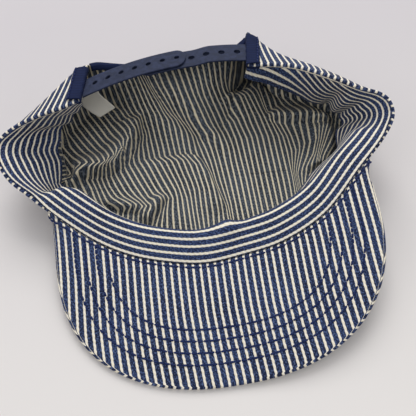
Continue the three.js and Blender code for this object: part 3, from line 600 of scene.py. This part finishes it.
# Where some of the panel's cream stripes run, from the back to the front, by their number from the left
stripeRuns = {
    5: [(-88.5, 59.5), (-83, 51.5), (-79, 44.5), (-75, 36.5), (-83, 33), (-80, 24), (-77, 14)],
    7: [(-85.5, 72), (-79.5, 61), (-71.5, 47.5), (-66.5, 35.5), (-74, 32), (-71, 24.5), (-69.5, 18),
        (-67, 10)],
    9: [(-83, 84), (-79.5, 77), (-72.5, 64), (-63.5, 49.5), (-59.5, 35.5), (-67.5, 32), (-66, 26.5),
        (-62, 14), (-60.5, 10.5), (-54.5, 6), (-56, 2)],
    11: [(-77, 90), (-73, 82.5), (-65, 67), (-58, 54.5), (-53.5, 40), (-61.5, 32.5), (-59.5, 24.5),
        (-54.5, 13.5), (-50, 9), (-46, 5.5), (-49, 4), (-50, -2)],
    13: [(-69, 92), (-64, 82), (-57, 68.5), (-50, 51.5), (-48.5, 45), (-56, 35), (-54.5, 31), (-50, 19.5),
        (-43.5, 9), (-39.5, 4), (-42.5, 2.5), (-43.5, -5)],
    15: [(-62, 92), (-56.5, 82.5), (-50, 70.5), (-46, 60.5), (-44, 52), (-48.5, 43), (-49.5, 40),
        (-49, 37.5), (-43.5, 22.5), (-39, 12.5), (-34.5, 3.5), (-35, 0.5), (-36.5, -1.5), (-38.5, -8)],
    17: [(-55, 94), (-51.5, 87), (-49, 83), (-42.5, 68.5), (-39, 59), (-40, 55.5), (-43, 45.5), (-42.5, 40),
        (-36.5, 24), (-32, 12.5), (-28, 7), (-29.5, 2), (-33, -8)],
    19: [(-46, 88), (-43.5, 83), (-40, 75.5), (-35, 64), (-34.5, 60.5), (-36, 54.5), (-35.5, 40),
        (-32.5, 32.5), (-26, 15), (-23.5, 10), (-25.5, 1), (-26.5, -10)],
    21: [(-39, 87), (-35.5, 80), (-32.5, 72.5), (-30.5, 63), (-28.5, 38.5), (-26, 36), (-21, 23),
        (-18.5, 15.5), (-18, 10.5), (-18.5, -10)],
    23: [(-33, 86), (-30.5, 80.5), (-25, 69.5), (-22.5, 51), (-22, 39), (-18.5, 36), (-14, 21), (-12, 8.5),
        (-12, -12)],
    25: [(-30, 86), (-27, 81.5), (-21.5, 75), (-17, 64.5), (-15.5, 49), (-14.5, 39), (-11, 35.5),
        (-7.5, 20), (-6.5, 13), (-7, -2.5), (-7, -13)],
    27: [(-28, 87), (-24.5, 81), (-19, 74), (-11.5, 64.5), (-9.5, 57), (-8.5, 42.5), (-7.5, 38), (-3, 31),
        (-0.5, 11.5), (-1, -5.5), (-1.5, -14)],
    29: [(-20, 88), (-17, 78), (-11, 68), (-5, 60.5), (-2.5, 55.5), (-1.5, 43), (-0.5, 39), (4, 25),
        (5.5, 10.5), (6, -5), (5, -14)],
    31: [(-11, 88), (-7.5, 75), (-3, 62.5), (3, 54.5), (5.5, 44), (7, 33.5), (8, 18), (11, -1),
        (11.5, -15)],
    33: [(-2.5, 88), (1.5, 74), (8, 58.5), (12, 53.5), (12.5, 44), (13.5, 21.5), (14.5, 0), (14, -15)],
    35: [(5.5, 89), (8.5, 75.5), (13, 68), (18, 56), (20, 41.5), (20.5, 18.5), (20.5, -15)],
    37: [(13.5, 89), (14.5, 80), (19.5, 74), (24.5, 64.5), (26.5, 50), (27.5, 16), (27, -15)],
    39: [(21, 89), (21.5, 82.5), (25.5, 78), (31, 65.5), (34, 49), (33.5, 15), (33, -12)],
    41: [(30, 91), (28.5, 88), (27, 84.5), (34.5, 81), (38.5, 66.5), (41, 50), (40.5, 14), (40, -12)],
    43: [(39.5, 98), (36.5, 94), (32.5, 88), (40.5, 81.5), (46.5, 66.5), (48.5, 48.5), (47.5, 13),
        (46.5, -10)],
    45: [(48, 100), (44, 88), (47.5, 84), (52.5, 66.5), (55.5, 47.5), (54.5, 12), (53, -8)],
    46: [(50, 94), (49, 86), (50.5, 79), (52, 70.5), (55.5, 59.5), (58.5, 47), (58.5, 35.5), (57.5, 16),
        (56, 0)],
    48: [(57, 90), (59.5, 78.5), (60, 66), (62, 59), (64, 46), (64.5, 34.5), (59.5, 19), (59, 8),
        (58.5, 0)],
    50: [(63, 92), (65, 82.5), (67.5, 77), (71.5, 69.5), (72.5, 58.5), (71.5, 39), (66.5, 28), (61, 16),
        (60.5, 5)],
    52: [(74, 84), (76, 78), (80, 72), (81, 64), (82, 55.5), (79.5, 39.5), (74, 27), (67.5, 18.5), (64, 8)],
    54: [(88, 72), (88, 67.5), (87, 59.5), (87, 51.5), (81.5, 37), (76.5, 26), (72.5, 16.5), (69, 8)],
    56: [(96, 68), (95, 61), (94.5, 55), (90, 46), (82.5, 32.5), (76.5, 22.5), (72, 12)],
    58: [(103, 62), (99.5, 53), (96.5, 44.5), (88, 31.5), (80.5, 22), (75, 12)],
}
stripes = {"pitch": 4.16, "leastPitch": 0.35, "ease": 1.6, "steps": 520, "beyond": 9}


# Places across the stripes of the panel, in mm of cloth. Runs that come too near each other are kept
# apart, and beyond the outer runs the stripes go on at their pitch
def acrossStripes(x, y):
    levels = np.linspace(y.min() - 1, y.max() + 1, stripes["steps"])
    step = levels[1] - levels[0]
    soft = np.hanning(2 * int(stripes["ease"] / step) + 3)[1:-1]
    half = len(soft) // 2
    numbers = np.array(sorted(stripeRuns), float)
    paths = []
    for number in sorted(stripeRuns):
        run = np.array(stripeRuns[number], float)[::-1]
        path = np.interp(levels, run[:, 1], run[:, 0])
        path = np.convolve(np.pad(path, half, "edge"), soft / soft.sum(), "valid")
        paths.append(path - stripes["leastPitch"] * number)
    paths = np.maximum.accumulate(np.array(paths), 0).T + stripes["leastPitch"] * numbers
    numbers = np.r_[numbers[0] - stripes["beyond"], numbers, numbers[-1] + stripes["beyond"]]
    spread = stripes["beyond"] * stripes["pitch"]
    paths = np.concatenate([paths[:, :1] - spread, paths, paths[:, -1:] + spread], 1)
    level = (y.ravel() - levels[0]) / step
    row = level.astype(int)
    part = (level - row)[:, None]
    beside = paths[row] * (1 - part) + paths[row + 1] * part
    place = x.ravel()
    k = np.clip((beside <= place[:, None]).sum(1) - 1, 0, len(numbers) - 2)
    ids = np.arange(len(place))
    before, after = beside[ids, k], beside[ids, k + 1]
    number = numbers[k] + (place - before) / (after - before) * (numbers[k + 1] - numbers[k])
    return (number * stripes["pitch"]).reshape(x.shape)


def panelGrid():
    end = wall[:, -1]
    onward = unit(end - wall[:, -2])
    centre = np.array([*panel["middle"], 0.0])
    inward = unit((centre - end) * [1, 1, 0])
    start = end + unit(onward + inward) * panel["seam"]
    start[:, 2] = np.maximum(start[:, 2], panel["floor"])
    foot = (start[:, 2] - panel["floor"]) / math.tan(math.radians(panel["footSlope"]))
    foot = np.maximum(foot, panel["leastFoot"])
    arch = evenRows(archSections, panel["archColumns"])[0]
    edge = np.concatenate([start, xyz(arch)[1:-1]])
    foot = np.r_[foot, arch["foot"][1:-1]]
    flat = (centre - edge) * [1, 1, 0]
    reach = np.linalg.norm(flat, axis=1)
    rings = (np.arange(panel["rings"]) / panel["rings"]) ** panel["crowding"]
    near = reach[:, None] * rings[None]
    grid = edge[:, None] + flat[:, None] * rings[None, :, None]
    soft = np.minimum(panel["softest"], foot * panel["softShare"])[:, None]
    left = past(-near, -foot[:, None], soft) / foot[:, None]
    height = (edge[:, None, 2] - panel["floor"]) * left
    inside = smoothstep(near, *panel["evenFrom"])
    height = height + (spreadOut(height, panel["evening"]) - height) * inside
    lift = foldRelief(panelFolds, grid[..., 0], grid[..., 1]) * smoothstep(near, *panel["foldFrom"])
    grid[..., 2] = np.maximum(panel["floor"] + height + lift, panel["floor"])
    return grid


topPanel = panelGrid()
panelCloth = np.stack([acrossStripes(topPanel[..., 0], topPanel[..., 1]), topPanel[..., 1]], -1)
points, faces, cloth, slots = clothBody(topPanel, rim["cloth"] / 2, panelCloth, closed=True)
inner = np.arange(len(topPanel)) * panel["rings"] + panel["rings"] - 1
faces += [inner.tolist(), (inner[::-1] + topPanel.shape[0] * panel["rings"]).tolist()]
slots = np.r_[slots, 0, 1]
makePiece("top_panel_cloth", points, faces, [reverse, hickory], cloth, slots, ["top_panel"])
print("top panel made")

# The visor: both faces, and an edge round which the hidden face's cloth turns up
visor = {"thick": 3.2, "halfWidth": 92.6, "depth": 82.4, "middle": (1, -26), "power": 2.4,
         "left": (-91.3, 2), "right": (92.6, -5), "from": 108, "to": 318, "seamOut": 2.5, "seamDown": 0.8,
         "columns": 260, "rows": 100, "middleStripe": 1.5, "squeeze": 0.987, "turnSteps": 61,
         "rollSteps": 12, "seamThin": 0.7, "thinTo": 0.08}
# The stripes drift sideways a little toward the visor's edge
visorDrift = table("y x", [[-110, 1.9], [-100, 1.3], [-87, 0.2], [-70, -0.6], [-55, -0.4], [-40, 0]])
visorEdge = table("part z", [
    [0, 16], [0.09, 9], [0.2, 3.9], [0.32, 1.8], [0.5, 1.8], [0.59, 4.2], [0.7, 10], [0.82, 19.5],
    [0.91, 25.5], [1, 29],
])


def visorOutline():
    turn = np.pi * (1 + np.linspace(0, 1, visor["turnSteps"]))
    power = 2 / visor["power"]
    x = visor["middle"][0] + visor["halfWidth"] * np.sign(np.cos(turn)) * np.abs(np.cos(turn)) ** power
    y = visor["middle"][1] + visor["depth"] * np.sign(np.sin(turn)) * np.abs(np.sin(turn)) ** power
    x = np.r_[visor["left"][0], x, visor["right"][0]]
    y = np.r_[visor["left"][1], y, visor["right"][1]]
    rows, run = evenRows({"x": x, "y": y, "z": 0 * x}, visor["columns"])
    edge = xyz(rows)
    edge[:, 2] = at(visorEdge, "part", run / run[-1])["z"]
    return edge


def visorBody():
    edge = visorOutline()
    places = np.linspace(visor["from"], visor["to"], visor["columns"])
    seam = pointAt(places, rimPlaces, rimLine)
    tangent = np.gradient(seam, axis=0)
    outward = unit(np.stack([tangent[:, 1], -tangent[:, 0], 0 * places], 1))
    seam = seam + outward * visor["seamOut"] - [0, 0, visor["seamDown"]]
    half = visor["thick"] / 2
    edgeOut = unit(np.stack([np.gradient(edge[:, 1]), -np.gradient(edge[:, 0]), 0 * places], 1))
    rollMiddle = edge - edgeOut * half
    rows = np.linspace(0, 1, visor["rows"])
    flat = seam[:, None] + (rollMiddle - seam)[:, None] * rows[None, :, None]
    return flat, edgeOut, half


flat, edgeOut, half = visorBody()
normal = crossing(flat)
if normal[..., 2].mean() < 0:
    normal = -normal
fuller = smoothstep(np.linspace(0, 1, visor["rows"]), 0, visor["thinTo"])
thin = half * (visor["seamThin"] + (1 - visor["seamThin"]) * fuller)[None, :, None]
turns = np.linspace(0, np.pi, visor["rollSteps"])[1:-1]
roll = flat[:, -1:] + edgeOut[:, None] * half * np.sin(turns)[None, :, None]
roll = roll + normal[:, -1:] * half * np.cos(turns)[None, :, None]
upper = flat + normal * thin
lower = (flat - normal * thin)[:, ::-1]
loop = np.concatenate([upper, roll, lower], 1)
columns, rows = loop.shape[:2]
wrapped = half * (np.pi - turns)[None] * edgeOut[:, :1]
u = np.concatenate([upper[..., 0], flat[:, -1:, 0] + wrapped, lower[..., 0]], 1)
v = np.concatenate([upper[..., 1], np.broadcast_to(flat[:, -1:, 1], wrapped.shape), lower[..., 1]], 1)
u = (u - visor["middleStripe"] - np.interp(v, visorDrift["y"], visorDrift["x"])) / visor["squeeze"]
makePiece("visor_cloth", loop.reshape(-1, 3), barFaces(np.arange(columns * rows).reshape(columns, rows)),
          [hickory], np.stack([u, v], -1).reshape(-1, 2), None, ["visor"])
print("visor made")


# Sewing thread: each stitch is a short bowed bead that sinks in at both ends
stitch = {"length": 3.0, "gap": 0.1, "radius": 0.6, "sink": 0.32, "proud": 0.1, "rings": 7, "sides": 6,
          "fullness": 0.32, "endThin": 0.02}


def stitches(path, up):
    run = runAlong(path)
    count = int(run[-1] / (stitch["length"] + stitch["gap"]))
    points, faces = [], []
    t = np.linspace(0, 1, stitch["rings"])
    spread = np.clip(1 - (2 * t - 1) ** 2, stitch["endThin"], 1) ** stitch["fullness"]
    turn = 2 * np.pi * np.arange(stitch["sides"]) / stitch["sides"]
    size = len(t) * len(turn)
    for k in range(count):
        reach = (k + 0.5) * run[-1] / count + (t - 0.5) * stitch["length"]
        place = pointAt(reach, run, path)
        n = unit(pointAt(reach, run, up))
        side = unit(np.cross(np.gradient(place, axis=0), n))
        place = place + n * (stitch["proud"] + stitch["sink"] * (spread - 1))[:, None]
        ring = side[:, None] * np.cos(turn)[None, :, None] + n[:, None] * np.sin(turn)[None, :, None]
        points.append((place[:, None] + ring * (stitch["radius"] * spread)[:, None, None]).reshape(-1, 3))
        faces += barFaces(k * size + np.arange(size).reshape(len(t), -1))
    return np.concatenate(points), faces


def threadPiece(name, runs):
    points, faces = [], []
    for path, up in runs:
        more, moreFaces = stitches(path, up)
        shift = sum(len(p) for p in points)
        faces += [[i + shift for i in face] for face in moreFaces]
        points.append(more)
    makePiece(name, np.concatenate(points), faces, [thread])


# Four rows of topstitching follow the visor's edge, and one row holds it to the rim
visorStitches = {"fromEdge": [11.5, 17.5, 23.5, 29.5], "fromSeam": 1.6}


def visorRows():
    plan = upper[..., :2].reshape(-1, 2)
    outline = visorOutline()[:, :2]
    fromEdge = np.min(np.linalg.norm(plan[:, None] - outline[None, ::2], axis=2), axis=1)
    fromEdge = fromEdge.reshape(upper.shape[:2])
    rowNumbers = np.arange(visor["rows"])
    runs = []
    for distance in visorStitches["fromEdge"]:
        path, up = [], []
        for column in range(len(upper)):
            if fromEdge[column, 2] > distance:
                place = np.interp(-distance, -fromEdge[column], rowNumbers)
                path.append(pointAt([place], rowNumbers, upper[column])[0])
                up.append(normal[column, int(place)])
        runs.append((np.array(path), np.array(up)))
    inset = visorStitches["fromSeam"]
    runs.append((upper[:, 0] + unit(upper[:, 3] - upper[:, 0]) * inset, normal[:, 1]))
    return runs


threadPiece("visor_stitches", visorRows())
print("stitches made")

# Tapes folded over the cloth's cut edges: two legs beside the back opening and an arch along it
tape = {"thick": 0.8, "legWidth": 7.4, "legRoom": 1.1, "archWidth": 2.8, "archRoom": 1.2, "ripple": 0.28,
        "rippleLength": 7, "seamIn": 1.3, "puffed": (0.35, 0.75), "puffFrom": 0.02, "puffSteps": 9,
        "foldSteps": 13, "legFrom": -0.06, "legTo": 7 / 8, "legSteps": 48, "legSide": 6, "archFrom": 3}


def tapeOutline(width, room):
    inner = rim["cloth"] / 2 + room
    turn = np.linspace(0, np.pi, tape["foldSteps"])
    part = np.linspace(tape["puffFrom"], 1 - tape["puffFrom"], tape["puffSteps"])
    puffed = inner + tape["thick"] * (tape["puffed"][0] + tape["puffed"][1] * np.sqrt(np.sin(np.pi * part)))
    outer = puffed[-1]
    top = list(zip(width * (1 - part), puffed))
    around = [(-(rim["gap"] + tape["thick"]) * math.sin(a), outer * math.cos(a)) for a in turn]
    bottom = [(x, -y) for x, y in top[::-1]]
    inside = [(-rim["gap"] * math.sin(a), -inner * math.cos(a)) for a in turn]
    return [*top, *around[1:-1], *bottom, (width, -inner), *inside, (width, inner)]


# A tape down one edge of the wall, and the run of its seam with the direction out of the tape
def legTape(name, column, beside):
    places = np.linspace(tape["legFrom"], tape["legTo"], tape["legSteps"])
    down = np.r_[tape["legFrom"], np.linspace(0, 1, wall.shape[1])]
    column, beside = (np.concatenate([2 * c[:1] - c[2:3], c]) for c in (column, beside))
    edge = pointAt(places, down, column)
    nextTo = pointAt(places, down, beside)
    along = unit(np.gradient(edge, axis=0))
    e = nextTo - edge
    e = unit(e - along * np.sum(e * along, 1, keepdims=True))
    n = unit(np.cross(along, e))
    if n[:, 2].mean() < 0:
        n = -n
    run = runAlong(edge)[:, None]
    edge = edge - e * tape["ripple"] * (0.5 + 0.5 * np.sin(2 * np.pi * run / tape["rippleLength"]))
    points, faces = sweep(edge, e, n, tapeOutline(tape["legWidth"], tape["legRoom"]))
    makePiece(name + "_tape", points, faces, [tapeCloth], None, None, [name])
    over = rim["cloth"] / 2 + tape["legRoom"] + tape["thick"]
    return edge + e * (tape["legWidth"] - tape["seamIn"]) + n * over, n


tapeSeams = [legTape("binding_left", wall[0], wall[tape["legSide"]]),
             legTape("binding_right", wall[-1], wall[-1 - tape["legSide"]])]

archColumns = topPanel[len(wall) + tape["archFrom"]:]
edge = archColumns[:, 0]
along = unit(np.gradient(edge, axis=0))
e = archColumns[:, 2] - edge
e = unit(e - along * np.sum(e * along, 1, keepdims=True))
points, faces = sweep(edge, e, unit(np.cross(along, e)), tapeOutline(tape["archWidth"], tape["archRoom"]))
makePiece("binding_arch_tape", points, faces, [tapeCloth], None, None, ["binding_arch"])
threadPiece("binding_stitches", tapeSeams)
print("tapes made")

# The snap strap: t runs from its left root to its right one, and its width heads away from the near edge
strap = {"width": 17.5, "thick": 1.4, "rise": 7, "crown": 1.8, "length": 107, "left": (-66.6, 61.8),
         "right": (39.2, 76.4), "height": 44, "leftTip": 0.612, "rightTip": 0.335, "rightRoot": 1.0,
         "face": 81, "turn": 7, "dip": -10, "more": -2, "hole": 2.1, "holes": (4, 11),
         "pit": 1.7, "pits": (0, 7), "studDeep": 3.4, "sockets": (7, 11), "socketDeep": 2.6,
         "stepDown": (0.03, 0.16), "firstStud": 0.062, "studPitch": 0.0765, "studStretch": 0.001,
         "steps": 240, "across": 25, "tipRound": 7, "tipBlunt": 0.05, "edgeRound": 0.9, "edgeThick": 0.72,
         "ring": (0.35, 0.8, 0.6, 1.25), "sides": 24, "punchReach": 3}


def strapFrame(t, depth):
    t = np.asarray(t, float)
    bow = 1 - (2 * t - 1) ** 2
    dx = strap["right"][0] - strap["left"][0]
    dy = strap["right"][1] - strap["left"][1]
    near = np.stack([strap["left"][0] + dx * t, strap["left"][1] + dy * t + strap["rise"] * bow,
                     strap["height"] + strap["crown"] * bow], -1)
    slope = 4 * (1 - 2 * t)
    along = unit(np.stack([dx + 0 * t, dy + strap["rise"] * slope, strap["crown"] * slope], -1))
    e = heading(strap["face"] + strap["turn"] * t, strap["dip"] + strap["more"] * bow)
    n = unit(np.cross(along, e))
    return near + e * strap["width"] / 2 + n * depth(t)[..., None], e, n, along


# Where stud and hole k stand: the bent strap shows them a little further apart toward the right
def studPlace(k):
    return strap["firstStud"] + strap["studPitch"] * k + strap["studStretch"] * k * k


# How deep the left half lies along t, and then the right one, which comes up beyond the left one's tip
def onTop(t):
    return 0 * t


def below(t):
    start, end = (strap["leftTip"] + part for part in strap["stepDown"])
    return -(strap["thick"] + rim["gap"]) * (1 - smoothstep(t, start, end))


# A ring of points round the axis of stud or hole k, at a height over the middle of its strap half
def ringAt(k, depth, radius, height):
    turn = 2 * np.pi * np.arange(strap["sides"]) / strap["sides"]
    middle, e, n, along = (v[0] for v in strapFrame([studPlace(k)], depth))
    return middle + n * height + radius * (along * np.cos(turn)[:, None] + e * np.sin(turn)[:, None])


# A flat half with a round tip: its outline across runs over the top and back underneath
def strapBody(root, tip, depth, relief):
    t = np.linspace(root, tip, strap["steps"])
    left = np.abs(t - tip) * strap["length"]
    roundTip = np.sqrt(1 - (1 - np.minimum(left / strap["tipRound"], 1)) ** 2)
    half = strap["width"] / 2 * np.maximum(roundTip, strap["tipBlunt"])
    middle, e, n, _ = strapFrame(t, depth)
    w = np.sin(np.linspace(-1, 1, strap["across"]) * np.pi / 2)
    grid = middle[:, None] + e[:, None] * (w[None] * half[:, None])[..., None]
    edgeLeft = np.minimum((1 - np.abs(w))[None] * half[:, None], left[:, None])
    full = strap["edgeThick"] + (1 - strap["edgeThick"]) * smoothstep(edgeLeft, 0, strap["edgeRound"])
    thick = strap["thick"] / 2 * full
    top = grid + n[:, None] * (thick + relief(t[:, None], w[None] * half[:, None]))[..., None]
    bottom = grid - n[:, None] * thick[..., None]
    loop = np.concatenate([top, bottom[:, ::-1]], 1)
    return loop.reshape(-1, 3), barFaces(np.arange(loop[..., 0].size).reshape(loop.shape[:2]))


# A raised ring stands round each stud's dimple
def dimpleRings(t, w):
    height = 0 * (t + w)
    lift, out, width, squash = strap["ring"]
    for k in range(*strap["pits"]):
        away = np.hypot((t - studPlace(k)) * strap["length"], w * squash)
        height = height + lift * np.exp(-((away - strap["pit"] - out) / width) ** 2)
    return height


points, faces = strapBody(0, strap["leftTip"], onTop, dimpleRings)
leftHalf = makePiece("strap_left_half", points, faces, [plastic], None, None, ["strap_left"])
points, faces = strapBody(strap["rightRoot"], strap["rightTip"], below, lambda t, w: 0 * (t + w))
rightHalf = makePiece("strap_right_half", points, faces, [plastic], None, None, ["strap_right"])


# Cuts round holes through a strap half, and leaves it with the mesh that this gives
def punch(piece, numbers, depth, radius):
    sides, reach = strap["sides"], strap["punchReach"]
    points, faces = [], []
    for k in range(*numbers):
        first = len(points)
        for height in (-reach, reach):
            points += ringAt(k, depth, radius, height).tolist()
        ids = first + np.arange(2 * sides).reshape(2, sides)
        following = np.roll(ids, -1, 1)
        faces += [ids[0, ::-1].tolist(), ids[1].tolist()]
        faces += np.stack([ids[0], following[0], following[1], ids[1]], -1).tolist()
    mesh = bpy.data.meshes.new("punch")
    mesh.from_pydata(((np.array(points) + capMiddle) * mm).tolist(), [], faces)
    cutter = bpy.data.objects.new("punch", mesh)
    bpy.context.scene.collection.objects.link(cutter)
    change = piece.modifiers.new("holes", "BOOLEAN")
    change.operation = "DIFFERENCE"
    change.object = cutter
    bpy.context.view_layer.update()
    graph = bpy.context.evaluated_depsgraph_get()
    piece.data = bpy.data.meshes.new_from_object(piece.evaluated_get(graph))
    piece.modifiers.clear()
    bpy.data.objects.remove(cutter)


# A cup's outline: radius and height round its axis, down its inner side and up its outer one
cup = {"wall": 0.6, "innerTop": 0.2, "outerTop": 0.1, "neck": -0.4, "flat": 0.7, "innerRound": 0.2,
       "outerRound": 0.5, "centre": 0.02}


def cupOutline(inner, deep):
    outer = inner + cup["wall"]
    floor = cup["wall"] - deep
    return [(inner, cup["innerTop"]), (inner, floor + cup["innerRound"]), (inner * cup["flat"], floor),
            (cup["centre"], floor), (cup["centre"], -deep), (outer * cup["flat"], -deep),
            (outer, cup["outerRound"] - deep), (outer, cup["neck"]), (outer, cup["outerTop"])]


# Hollow cups under a strap half, open at the top
def cups(numbers, depth, inner, deep):
    points, faces = [], []
    outline = cupOutline(inner, deep)
    for k in range(*numbers):
        ids = len(points) + np.arange(len(outline) * strap["sides"]).reshape(len(outline), -1)
        for radius, height in outline:
            points += ringAt(k, depth, radius, height).tolist()
        following = np.roll(ids, -1, 1)
        lower = np.roll(ids, -1, 0)
        faces += np.stack([ids, lower, np.roll(lower, -1, 1), following], -1).reshape(-1, 4).tolist()
    return points, faces


punch(rightHalf, strap["holes"], below, strap["hole"])
punch(leftHalf, strap["pits"], onTop, strap["pit"])
points, faces = cups(strap["pits"], onTop, strap["pit"], strap["studDeep"])
makePiece("strap_studs", points, faces, [plastic], None, None, [])
points, faces = cups(strap["sockets"], below, strap["hole"], strap["socketDeep"])
makePiece("strap_sockets", points, faces, [plastic], None, None, [])
print("strap made")

# The care tag hangs below the strap's left root, bare
tag = {"thick": 0.6, "steps": 33, "across": 13}
tagSections = table("xa ya za xb yb zb", [
    [-69.5, 77.5, 38.9, -60.8, 79.2, 39.6], [-71, 76.5, 32, -59.5, 79, 33.6],
    [-70.9, 74, 25.4, -58.4, 76.7, 29.3], [-66, 70.6, 20.8, -54.3, 73.9, 25.2],
    [-60.6, 67.6, 18, -50, 70.6, 22],
])
sides = smooth(tagSections, np.linspace(0, len(tagSections["xa"]) - 1, tag["steps"]))
one = np.stack([sides["xa"], sides["ya"], sides["za"]], 1)
other = np.stack([sides["xb"], sides["yb"], sides["zb"]], 1)
tagGrid = one[:, None] + (other - one)[:, None] * np.linspace(0, 1, tag["across"])[None, :, None]
points, faces, cloth, slots = clothBody(tagGrid, tag["thick"] / 2, tagGrid[..., :2])
makePiece("care_label_tag", points, faces, [ribbon, ribbon], cloth, None, ["care_label"])

# Studio: a pale floor with painted light, lighter toward the front and darker toward the back, an even sky
# and four soft lamps. Metres and watts
studio = {
    "floorLitFront": "eae6df", "floorShadedBack": "d0cbcb", "paintedLightBlend": 0.25, "floorUneven": 0.12, "cloud": 3.0,
    "floorSize": 14.0, "sky": "dcdde4", "skyStrength": 0.58,
    "lamps": {
        "window": {"place": (0.26, 1.9, 2.0), "size": 1.8, "power": 44, "colour": "fdfdff"},
        "ceiling": {"place": (0.1, 0.2, 2.6), "size": 3.0, "power": 13, "colour": "ffffff"},
        "left": {"place": (-1.3, -0.5, 0.8), "size": 1.2, "power": 4.5, "colour": "ffffff"},
        "right": {"place": (1.4, -0.7, 0.8), "size": 1.2, "power": 2, "colour": "ffffff"},
    },
}


# Matt white board with painted light: a blend from lighter at the front to darker at the back, and a faint
# cloud
def floorMaterial():
    material, tree = newMaterial("matteWhiteBoard")
    place = node(tree, "TexCoord").outputs["Object"]
    split = node(tree, "SeparateXYZ", links={"Vector": place})
    cloud = node(tree, "TexNoise", {"Scale": studio["cloud"], "Detail": 3.0}, {"Vector": place})
    # Painted light: this blend makes the floor lighter toward the front and darker toward the back
    back = node(tree, "MapRange", {"interpolation_type": "SMOOTHSTEP", "From Min": -studio["paintedLightBlend"],
                                   "From Max": studio["paintedLightBlend"]}, {"Value": split.outputs["Y"]})
    cloudAndPaintedLight = node(tree, "Math", {"operation": "MULTIPLY_ADD", 1: studio["floorUneven"]},
                  {0: cloud, 2: back})
    colour = node(tree, "Mix", {"data_type": "RGBA", 6: linear(studio["floorLitFront"]),
                                7: linear(studio["floorShadedBack"])}, {0: cloudAndPaintedLight})
    shader = node(tree, "BsdfPrincipled", {"Roughness": 0.7, "Specular IOR Level": 0.2},
                  {"Base Color": colour})
    node(tree, "OutputMaterial", links={"Surface": shader})
    return material


side = studio["floorSize"] / 2
mesh = bpy.data.meshes.new("floor")
corners = [(-side, -side, 0), (side, -side, 0), (side, side, 0), (-side, side, 0)]
mesh.from_pydata(corners, [], [(0, 1, 2, 3)])
mesh.materials.append(floorMaterial())
floor = bpy.data.objects.new("floor", mesh)
bpy.context.scene.collection.objects.link(floor)

world = bpy.data.worlds.new("studio")
world.use_nodes = True
world.node_tree.nodes["Background"].inputs["Color"].default_value = linear(studio["sky"])
world.node_tree.nodes["Background"].inputs["Strength"].default_value = studio["skyStrength"]
bpy.context.scene.world = world

for name, look in studio["lamps"].items():
    lamp = bpy.data.lights.new(name, "AREA")
    lamp.size = look["size"]
    lamp.energy = look["power"]
    lamp.color = linear(look["colour"])[:3]
    holder = bpy.data.objects.new(name, lamp)
    bpy.context.scene.collection.objects.link(holder)
    holder.location = look["place"]
    holder.rotation_euler = (-Vector(look["place"])).to_track_quat("-Z", "Y").to_euler()

bpy.context.scene.view_settings.view_transform = "Standard"
print("studio made")
